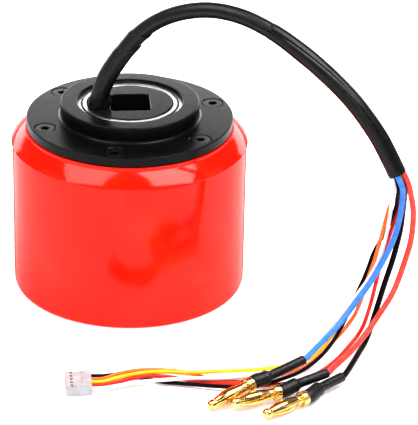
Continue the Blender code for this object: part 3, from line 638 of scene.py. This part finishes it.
def merge(parts):
    """One bmesh holding several separate pieces."""
    whole = bmesh.new()
    for part in parts:
        mesh = to_mesh("merge_piece", part)
        whole.from_mesh(mesh)
        bpy.data.meshes.remove(mesh)
    return whole


def carve(bm, cutter):
    """The first bmesh with the second one's volume taken out."""
    made = []
    for name, part in (("carved", bm), ("cutter", cutter)):
        bmesh.ops.recalc_face_normals(part, faces=part.faces)
        made.append(bpy.data.objects.new(name, to_mesh(name, part)))
        bpy.context.scene.collection.objects.link(made[-1])
    step = made[0].modifiers.new("cut", "BOOLEAN")
    step.operation = "DIFFERENCE"
    step.solver = "EXACT"
    step.object = made[1]
    graph = bpy.context.evaluated_depsgraph_get()
    result = bmesh.new()
    result.from_mesh(made[0].evaluated_get(graph).to_mesh())
    for obj in made:
        mesh = obj.data
        bpy.data.objects.remove(obj)
        bpy.data.meshes.remove(mesh)
    return result


def placed(bm, matrix):
    """The bmesh carried to where a matrix puts it."""
    bmesh.ops.transform(bm, matrix=matrix, verts=bm.verts)
    return bm


def polar(radius, degrees):
    turn = math.radians(degrees)
    return radius * math.cos(turn), radius * math.sin(turn)


def smooth_path(points, spacing):
    """Points along a uniform Catmull-Rom curve through the given ones, evenly spaced."""
    knots = [Vector(p) for p in points]
    knots = [2 * knots[0] - knots[1]] + knots + [2 * knots[-1] - knots[-2]]
    dense = []
    for i in range(1, len(knots) - 2):
        a, b, c, d = knots[i - 1:i + 3]
        for k in range(24):
            u = k / 24.0
            dense.append(0.5 * (2 * b + (c - a) * u + (2 * a - 5 * b + 4 * c - d) * u * u
                                + (3 * b - a - 3 * c + d) * u ** 3))
    dense.append(knots[-2])
    lengths = [0.0]
    for first, second in zip(dense, dense[1:]):
        lengths.append(lengths[-1] + (second - first).length)
    count = max(2, round(lengths[-1] / spacing))
    spots = []
    at = 0
    for n in range(count + 1):
        want = lengths[-1] * n / count
        while at < len(lengths) - 2 and lengths[at + 1] < want:
            at += 1
        share = (want - lengths[at]) / max(lengths[at + 1] - lengths[at], 1e-9)
        spots.append(dense[at].lerp(dense[at + 1], min(max(share, 0.0), 1.0)))
    return spots, lengths[-1]


def point_at(path, length, along):
    """The point at a distance along an evenly spaced path, straight on past its ends."""
    at = along * (len(path) - 1) / length
    low = min(max(int(at), 0), len(path) - 2)
    return path[low].lerp(path[low + 1], at - low)


def frames_along(points):
    """Two axes across the path at each point, carried along without twist."""
    frames = []
    side = None
    for i, point in enumerate(points):
        ahead = points[min(i + 1, len(points) - 1)] - points[max(i - 1, 0)]
        ahead.normalize()
        if side is None:
            side = ahead.cross(Vector((0, 1, 0))).normalized()
        side = (side - ahead * side.dot(ahead)).normalized()
        frames.append((point, side, ahead.cross(side)))
    return frames


def skin_bmesh(path, radius_of, steps, bore=None):
    """A tube along a path. radius_of(ring, angle) shapes its outside; a bore leaves it hollow."""
    bm = bmesh.new()
    turns = [TAU * i / steps for i in range(steps)]

    def ring(centre, side, up, radii):
        ways = [side * math.cos(turn) + up * math.sin(turn) for turn in turns]
        return [bm.verts.new(centre + way * radius) for way, radius in zip(ways, radii)]

    frames = frames_along(path)
    outside = [ring(*frame, [radius_of(n, turn) for turn in turns]) for n, frame in enumerate(frames)]
    loops = outside
    if bore:
        inside = [ring(*frame, [bore] * steps) for frame in frames]
        loops = outside + inside[::-1] + outside[:1]
    for first, second in zip(loops, loops[1:]):
        band(bm, first, second)
    if not bore:
        bm.faces.new(outside[0][::-1])
        bm.faces.new(outside[-1])
    return bm


# -------- the wheel and its cover

def swing(start, end, lean_start, lean_end, count=14):
    """A smooth outline between two points, its outward lean growing evenly between two angles."""
    leans = [math.radians(lean_start + (lean_end - lean_start) * (k + 0.5) / count) for k in range(count)]
    steps = [Vector((-math.sin(lean), math.cos(lean))) for lean in leans]
    total = sum(steps, Vector((0.0, 0.0)))
    want = Vector(end) - Vector(start)
    turn = Matrix.Rotation(math.atan2(total.y, total.x) - math.atan2(want.y, want.x), 2).transposed()
    at = Vector(start)
    points = [tuple(at)]
    for step in steps:
        at = at + (turn @ step) * (want.length / total.length)
        points.append(tuple(at))
    return points


def build_tyre(looks):
    """A nearly straight tread, a small lip, a curved shoulder and a neck under the cover."""
    outline = rounded([(TYRE_BASE_R, 0.5, 0.0), (36.4, 0.0, 0.2), (40.9, 0.0, 0.5), (41.25, 0.8, 0.8),
                       (41.36, 5.0, 0.0), (41.46, 53.3, 0.1), (41.80, 53.6, 0.0)], False)
    outline += swing((TYRE_LIP_R, TYRE_LIP_Z), (37.0, 58.4), 34.0, 58.0)
    outline += rounded([(36.9, 58.5, 0.0), (36.9, 59.7, 0.2), (TYRE_BASE_R, 59.7, 0.0)], False)
    add_piece("tyre_skin", lathe_bmesh(outline, 240), looks["tyre"], "rotor", ["tyre"], 24.0)


def screw_places():
    """Centre of each cover screw on its circle."""
    for i in range(SCREW_COUNT):
        x, y = polar(SCREW_CIRCLE_R, FIRST_SCREW + SCREW_STEP * i)
        yield i, (x, y, 0)


def build_cover(looks):
    """The inboard cover: a disc with countersunk holes and the raised boss round the bearing."""
    outline = rounded([(BOSS_SEAT_R, 57.5, 0), (28.1, 57.5, 0), (28.1, COVER_UNDER, 0),
                       (COVER_R, COVER_UNDER, 0.22), (COVER_R, COVER_TOP, 0.30), (BOSS_R, COVER_TOP, 1.1),
                       (BOSS_R, BOSS_TOP, 0.50), (BOSS_MOUTH_R, BOSS_TOP, 0.22), (BOSS_MOUTH_R, SEAT_TOP, 0),
                       (BOSS_SEAT_R, SEAT_TOP, 0)])
    countersink = [(0, 59), (2.0, 59), (2.0, 60.9), (3.82, 62.7), (3.82, 63.12), (4.2, 63.5), (4.2, 64),
                   (0, 64)]
    holes = [moved(lathe_bmesh(countersink, 40), place) for i, place in screw_places()]
    bm = carve(lathe_bmesh(outline, 200), merge(holes))
    add_piece("cover_plate", bm, looks["anodised"], "rotor", ["inboard_cover"], 32.0)


def build_screws(looks):
    """Countersunk screws, each with its hexagon socket turned a little further than the last."""
    outline = rounded([(0, 54.0, 0), (1.4, 54.0, 0.2), (1.7, 54.6, 0), (1.7, 61.0, 0.2), (3.6, 62.85, 0.15),
                       (3.55, 63.15, 0.14), (0, 63.17, 0)], False)
    for i, place in screw_places():
        turn = 14 * i
        hexagon = [polar(1.5, 60 * k + turn) for k in range(6)]
        rim = [polar(1.4964, 60 * k + turn) for k in range(6)]
        body = carve(lathe_bmesh(outline, 40), prism_bmesh(hexagon, 61.2, 63.8))
        body = carve(body, prism_bmesh(rim, 62.95, 63.30, 0.22))
        add_piece(f"screw_{i + 1}", moved(body, place), looks["screw"], "rotor",
                  [f"cover_screw_{i + 1}"], 30.0)


def build_bearing(looks):
    """The cable-side bearing: two races, the shield between them and the lip of its seal."""
    inner = rounded([(15.3, BEARING_LOW, 0.3), (16.75, BEARING_LOW, 0.2), (16.75, BEARING_HIGH, 0.10),
                     (15.3, BEARING_HIGH, 0.14)])
    outer = rounded([(19.7, BEARING_LOW, 0.2), (21.0, BEARING_LOW, 0.3), (21.0, BEARING_HIGH, 0.18),
                     (19.7, BEARING_HIGH, 0.10)])
    shield = rounded([(17.3, 67.35, 0.05), (19.45, 67.35, 0.05), (19.45, 67.75, 0.05), (17.3, 67.75, 0.08)])
    seal = rounded([(16.80, 66.7, 0.05), (17.27, 66.7, 0.05), (17.27, 67.4, 0.05), (16.80, 67.4, 0.05)])
    for name, outline, look, body, slot, stands_for in (
            ("bearing_inner_race", inner, "race", "stator", "bearing_steel", ["inboard_bearing_inner"]),
            ("bearing_outer_race", outer, "race", "rotor", "bearing_steel", ["inboard_bearing_outer"]),
            ("bearing_shield_plate", shield, "shield", "rotor", "bearing_steel", ["inboard_bearing_shield"]),
            ("bearing_seal_lip", seal, "wire_black", "rotor", "screw_black", ())):
        add_piece(name, lathe_bmesh(outline, 160), looks[look], body, stands_for)


def build_closed_side(looks):
    """The closed end: a flat turned disc with a shallow relief and a raised centre."""
    outline = rounded([(0, 0.95, 0), (8.0, 0.95, 0.4), (8.6, 0.4, 0.3), (15.0, 0.4, 0.3), (15.6, 1.0, 0.3),
                       (30.0, 1.0, 0.3), (30.6, 0.4, 0.3), (35.6, 0.4, 0.45), (35.6, 3.2, 0), (32.9, 3.2, 0),
                       (32.9, 7.0, 0), (30.0, 7.0, 0), (29.0, 4.4, 0), (18.0, 4.4, 0), (18.0, 11.6, 0),
                       (14.3, 11.6, 0), (14.3, 4.0, 0), (0, 4.0, 0)], False)
    add_piece("closed_cover", lathe_bmesh(outline, 160), looks["anodised"], "rotor",
              ["outboard_cover"], 32.0)


def socket_outline(steps=6):
    """The square of the axle socket with its rounded corners."""
    points = []
    half = SOCKET_WIDTH / 2.0 - SOCKET_CORNER
    for quarter, (sx, sy) in enumerate([(1, 1), (-1, 1), (-1, -1), (1, -1)]):
        for k in range(steps + 1):
            x, y = polar(SOCKET_CORNER, 90.0 * quarter + 90.0 * k / steps)
            points.append((sx * half + x, sy * half + y))
    return points


def build_shaft(looks):
    """The stationary shaft with its square socket and cable hole, their mouths chamfered."""
    outline = rounded([(0, 4.6, 0), (6.9, 4.6, 0.3), (7.2, 5.1, 0), (7.2, 11.7, 0), (10.0, 11.7, 0),
                       (10.0, 15.5, 0), (12.0, 15.5, 0), (12.0, 52.2, 0), (16.3, 52.2, 0), (16.3, 60.6, 0),
                       (SHAFT_R, 60.6, 0), (SHAFT_R, SHAFT_TOP, 0.3), (0, SHAFT_TOP, 0)], False)
    socket = prism_bmesh(socket_outline(), SOCKET_FLOOR, 72.0)
    rim = prism_bmesh(socket_outline(), 67.9, 68.5, 0.085)
    hole = lathe_bmesh([(0, CABLE_HOLE_FLOOR), (CABLE_HOLE_R, CABLE_HOLE_FLOOR), (CABLE_HOLE_R, 67.85),
                        (3.55, 68.4), (3.55, 72), (0, 72)], 48)
    bm = carve(lathe_bmesh(outline, 160), moved(socket, turn=SOCKET_TURN))
    bm = carve(bm, moved(rim, turn=SOCKET_TURN))
    bm = carve(bm, moved(hole, (*CABLE_EXIT[:2], 0)))
    add_piece("axle_shaft", bm, looks["shaft_face"], "stator", ["shaft"], 28.0)


# -------- cable, wires and plugs

def bezier_cord(name, points, radius, material, stands_for, sides=5):
    """A round cord: one smooth open curve through the points."""
    curve = bpy.data.curves.new(name, "CURVE")
    curve.dimensions = "3D"
    curve.bevel_depth = radius * MM
    curve.bevel_resolution = sides
    curve.resolution_u = 10
    curve.use_fill_caps = True
    spline = curve.splines.new("BEZIER")
    spline.bezier_points.add(len(points) - 1)
    last = len(points) - 1
    for i, knot in enumerate(spline.bezier_points):
        slope = (points[min(i + 1, last)] - points[max(i - 1, 0)]) / (6.0 if 0 < i < last else 3.0)
        knot.handle_left_type = knot.handle_right_type = "FREE"
        knot.co = points[i] * MM
        knot.handle_left = (points[i] - slope) * MM
        knot.handle_right = (points[i] + slope) * MM
    cord = bpy.data.objects.new(name, curve)
    cord.data.materials.append(material)
    return enlist(cord, "stator", stands_for)


def spread_points(route, count, onward):
    """Evenly spread points on a wire's route, from inside the end sleeve and on into its plug."""
    into_sleeve = (Vector(CABLE_PATH[-2]) - Vector(CABLE_PATH[-1])).normalized() * INTO_SLEEVE
    path, length = smooth_path([Vector(route[0]) + into_sleeve] + route, 0.5)
    inside = [point_at(path, length, length * k / count) for k in range(count + 1)]
    return inside + [path[-1] + onward]


def crease(along, turn, seed):
    """Soft lengthwise folds and fine unevenness in shrunk sleeving, from -1 to 1."""
    x, y = math.cos(turn), math.sin(turn)
    folds = noise.noise(Vector((x * 1.6 + seed, y * 1.6, along * 0.045)))
    fine = noise.noise(Vector((x * 4.0, y * 4.0 + seed, along * 0.25)))
    return folds + 0.35 * fine


def ridge(along, turn, line):
    """A pinched seam standing along a sleeve, with a groove on its outer side."""
    start, end, from_turn, to_turn, height, width = line
    if not start <= along <= end:
        return 0.0
    share = (along - start) / (end - start)
    off = (turn - from_turn - (to_turn - from_turn) * share + math.pi) % TAU - math.pi
    fade = min(1.0, 6.0 * share, 6.0 * (1.0 - share))
    groove = 0.6 * math.exp(-((off + 2.0 * width) / width) ** 2)
    return height * fade * (math.exp(-(off / width) ** 2) - groove)


def sleeve_on_cable(name, look, cable, span, radius, stands_for, seed, lean=0.0, relief=0.12,
                    seams=(), rolls=(0.2, 0.2), taper=0.0, flare=0.0):
    """Sleeving shrunk over the cable, its far end cut at a slant and its ends rolled in a little."""
    path, length = cable
    spacing, steps = 0.55, 96
    count = int((span[1] - span[0]) / spacing)
    alongs = [span[0] + (span[1] - span[0]) * k / count for k in range(count + 1)]
    centres = [point_at(path, length, along) for along in alongs]

    def radius_of(n, turn):
        roll = rolls[0] * (n == 0) + rolls[1] * (n == count)
        thin = taper * max(0.0, 1.0 - (alongs[n] - span[0]) / 14.0)
        lip = flare * max(0.0, -math.cos(turn)) * max(0.0, 1.0 - (span[1] - alongs[n]) / 3.5)
        shape = radius - 0.5 * relief + 0.8 * relief * crease(alongs[n], turn, seed) - roll - thin + lip
        return shape + sum(ridge(alongs[n], turn, line) for line in seams)

    bm = skin_bmesh(centres, radius_of, steps, JACKET_R - 0.05)
    bm.verts.ensure_lookup_table()
    for ring in range(2 * (count + 1)):
        n = ring if ring <= count else 2 * count + 1 - ring
        ahead = (centres[min(n + 1, count)] - centres[max(n - 1, 0)]).normalized()
        share = max(0.0, 1.0 - (1.0 - n / count) * 2.5)
        for i in range(steps):
            turn = TAU * i / steps
            ragged = 0.35 * noise.noise(Vector((3.0 * math.cos(turn) + seed, 3.0 * math.sin(turn), 0.0)))
            shift = share * (lean * math.cos(turn) + (ragged if lean else 0.0))
            bm.verts[ring * steps + i].co += ahead * shift
    return add_piece(name, bm, look, "stator", stands_for, 50.0)


def build_cable(looks):
    """The cable's jacket and the three sleeves shrunk over it."""
    cable = smooth_path(CABLE_PATH, 0.5)
    path, length = cable
    run = length - JACKET_START - JACKET_END_GAP
    jacket_points = [point_at(path, length, JACKET_START + run * k / 30.0) for k in range(31)]
    jacket = bezier_cord("cable_jacket_cord", jacket_points, JACKET_R, looks["jacket"],
                         ["cable_jacket"], 8)
    base = sleeve_on_cable("base_shrink", looks["shrink"], cable, BASE_SLEEVE_SPAN, BASE_SLEEVE_R,
                           ["base_sleeve"], 3.1, lean=-3.4, relief=0.16, seams=BASE_SEAMS, taper=0.3,
                           flare=0.3)
    second = sleeve_on_cable("second_shrink", looks["shrink"], cable, SECOND_LAYER_SPAN, SECOND_LAYER_R,
                             (), 8.7, lean=-2.5, relief=0.06, flare=0.3)
    end = sleeve_on_cable("end_shrink", looks["end_shrink"], cable, END_SLEEVE_SPAN, END_SLEEVE_R,
                          ["end_sleeve"], 5.4, seams=END_SEAMS, rolls=(0.1, 0.04), taper=0.34)


def lantern_bmesh(core, rings, strips, gap, thickness):
    """Sprung contact strips bowed out round the pin, with a slit between neighbours."""
    whole = []
    for s in range(strips):
        bm = bmesh.new()
        arc = [TAU * (s + gap / 2.0 + (1.0 - gap) * k / 4.0) / strips for k in range(5)]
        layers = []
        for inset in (0.0, thickness):
            grid = []
            for along, radius in rings:
                depth = radius - inset
                grid.append([bm.verts.new((depth * math.cos(a), depth * math.sin(a), along)) for a in arc])
            layers.append(grid)
        top, low = layers
        for n in range(len(rings) - 1):
            for k in range(4):
                bm.faces.new((top[n][k], top[n][k + 1], top[n + 1][k + 1], top[n + 1][k]))
                bm.faces.new((low[n][k], low[n + 1][k], low[n + 1][k + 1], low[n][k + 1]))
            bm.faces.new((top[n][0], top[n + 1][0], low[n + 1][0], low[n][0]))
            bm.faces.new((top[n][4], low[n][4], low[n + 1][4], top[n + 1][4]))
        for n in (0, len(rings) - 1):
            for k in range(4):
                face = (top[n][k], low[n][k], low[n][k + 1], top[n][k + 1])
                bm.faces.new(face if n == 0 else face[::-1])
        bmesh.ops.recalc_face_normals(bm, faces=bm.faces)
        whole.append(bm)
    return merge([core] + whole)


def bullet_pin(colour, look, tip, ahead):
    """A turned pin: rounded nose, sprung strips bowed round a thin core, and a collar."""
    core = rounded([(0, -0.5, 0), (0.66, -0.42, 0), (1.20, -0.12, 0), (1.56, 0.34, 0), (1.72, 0.95, 0),
                    (1.72, 1.9, 0.2), (1.44, 2.35, 0.15), (1.40, 3.0, 0.1), (1.1, 3.6, 0.1), (1.1, 13.4, 0.3),
                    (1.74, 13.7, 0.12), (1.74, 14.6, 0.15), (1.5, 14.8, 0.1), (1.5, 15.2, 0.0),
                    (2.62, 15.25, 0.10), (2.62, 15.9, 0.10), (2.36, 16.0, 0.05), (2.36, 16.25, 0.05),
                    (2.42, 16.35, 0.05), (2.42, 17.7, 0.2), (2.0, 17.8, 0.0), (2.0, 19.0, 0.0),
                    (0, 19.0, 0)], False)
    bow = [(2.5, 1.50), (3.2, 1.66), (4.4, 1.95), (5.8, 2.24), (7.4, 2.40), (9.0, 2.38), (10.6, 2.22),
           (12.0, 1.98), (13.2, 1.76), (13.9, 1.70)]
    aim = ahead.to_track_quat("Z", "Y").to_matrix().to_4x4()
    bm = placed(lantern_bmesh(lathe_bmesh(core, 40), bow, 8, 0.24, 0.28), Matrix.Translation(tip) @ aim)
    return add_piece(f"bullet_contact_{colour}", bm, look, "stator", [f"bullet_plug_{colour}"], 40.0)


def bullet_sleeve(colour, look, mouth, narrows, thin_end, ahead):
    """Sleeving that is wide over the solder cup, then drawn in to the wire."""
    dense, length = smooth_path([mouth, mouth + ahead * 1.5, narrows, thin_end], 0.25)
    thick = (narrows - mouth).length
    wide, thin = 2.42, 1.62
    shape = [(0.0, wide - 0.25), (0.08, wide - 0.06), (0.3, wide), (1.2, wide), (2.2, wide + 0.04),
             (3.2, wide), (thick - 1.5, wide - 0.04), (thick - 0.7, wide + 0.02), (thick - 0.2, wide - 0.14),
             (thick + 0.2, wide - 0.45), (thick + 0.7, thin + 0.12), (thick + 1.3, thin),
             (thick + 2.5, thin - 0.02), (thick + 4.0, thin + 0.02), (thick + 6.0, thin - 0.03),
             (thick + 8.0, thin + 0.02), (length - 0.5, thin), (length - 0.12, thin - 0.03),
             (length, thin - 0.2)]
    shape = [s for s in shape if s[0] <= length]
    path = [point_at(dense, length, along) for along, radius in shape]
    seed = 11.0 * len(colour)

    def radius_of(n, turn):
        along, radius = shape[n]
        return radius + 0.07 * crease(along * 2.0, turn, seed)

    bm = skin_bmesh(path, radius_of, 32)
    return add_piece(f"bullet_sleeve_{colour}", bm, look, "stator",
                     [f"plug_sleeve_{colour}"], 60.0)


def build_bullet(looks, colour):
    """A gold bullet contact and the sleeving over its solder cup."""
    tip, mouth, narrows, thin_end = (Vector(end) for end in PLUGS[colour])
    ahead = (mouth - tip).normalized()
    pin = bullet_pin(colour, looks["gold"], tip, ahead)
    return [pin, bullet_sleeve(colour, looks["plug_shrink"], mouth, narrows, thin_end, ahead)]


def build_plug(looks):
    """Five-way housing: a stepped shell with pin windows, slots in its mouth and wire entries."""
    length, width, height = HOUSING
    front, back, step = -length / 2.0, length / 2.0, 1.1
    low, top, shelf = -height / 2.0, height / 2.0 + 0.15, height / 2.0 - 0.25
    shell = prism_bmesh([(front, low), (back, low), (back, top), (step, top), (step, shelf), (front, shelf)],
                        -width / 2.0, width / 2.0)
    bmesh.ops.rotate(shell, verts=shell.verts, matrix=Matrix.Rotation(math.pi / 2.0, 3, "X"))
    bmesh.ops.bevel(shell, geom=shell.edges[:], offset=0.22, segments=2, affect="EDGES")
    cutters = []
    for y in CONTACTS:
        cutters.append(box_bmesh((0.8, 1.1, 2.0), (-2.3, y, shelf)))
        cutters.append(box_bmesh((2.4, 0.8, 0.8), (front, y, -0.7)))
        entry = lathe_bmesh([(0, -1.5), (0.82, -1.5), (0.82, 1.6), (0, 1.6)], 20)
        bmesh.ops.rotate(entry, verts=entry.verts, matrix=Matrix.Rotation(math.pi / 2.0, 3, "Y"))
        cutters.append(moved(entry, (back, y, 0)))
    place = Matrix.Translation(Vector(HOUSING_AT)) @ Matrix.Rotation(math.radians(HOUSING_TURN), 4, "Z")
    bm = placed(carve(shell, merge(cutters)), place)
    housing = add_piece("signal_housing", bm, looks["nylon"], "stator", ["signal_plug"],
                        30.0)
    # contact tongues at the bottom of the pin windows; their near-black colour is painted shade
    tongues = placed(merge([box_bmesh((0.76, 1.04, 0.3), (-2.3, y, 0.8)) for y in CONTACTS]), place)
    contacts = add_piece("signal_contacts", tongues, looks["contact"], "stator", (), 30.0)
    return [housing, contacts]


def lead(kind, colour, look, points, radius):
    """One wire of the cable as a cord."""
    wire = bezier_cord(f"{kind}_lead_{colour}", points, radius, look,
                       [f"{kind}_wire_{colour}"])


def build_wires(looks):
    """Three thick wires to the bullets and five thin ones to the signal plug."""
    plug = build_plug(looks)
    for colour, route in PHASE_WIRES.items():
        bullet = build_bullet(looks, colour)
        narrows, thin_end = (Vector(end) for end in PLUGS[colour][2:])
        points = spread_points(route, 24, (narrows - thin_end).normalized() * INTO_BULLET)
        lead("phase", colour, looks[f"wire_{colour}"], points, PHASE_R)
    for colour, route in HALL_WIRES.items():
        points = spread_points(route, 36, Vector((-INTO_HOUSING, 0.0, 0.0)))
        look = looks["thin_red" if colour == "red" else f"wire_{colour}"]
        lead("hall", colour, look, points, HALL_R)


# -------- the hidden CAD pieces

def finish_hidden(looks):
    """Materials for the CAD pieces that show only through gaps."""
    finishes = (("magnet_", "magnet"), ("coil_", "copper"), ("stator_core", "lamination"),
                ("flux_ring", "yoke"), ("rotor_can", "anodised"), ("hall_board", "board"),
                ("outboard_bearing", "race"))
    for name, node in nodes.items():
        for start, finish in finishes:
            if name.startswith(start):
                node.data.materials.clear()
                node.data.materials.append(looks[finish])


def main():
    make_camera()
    make_studio()
    make_floor()
    looks = make_materials()
    build_cable(looks)
    build_wires(looks)
    build_tyre(looks)
    build_cover(looks)
    build_screws(looks)
    build_bearing(looks)
    build_closed_side(looks)
    build_shaft(looks)
    finish_hidden(looks)


main()
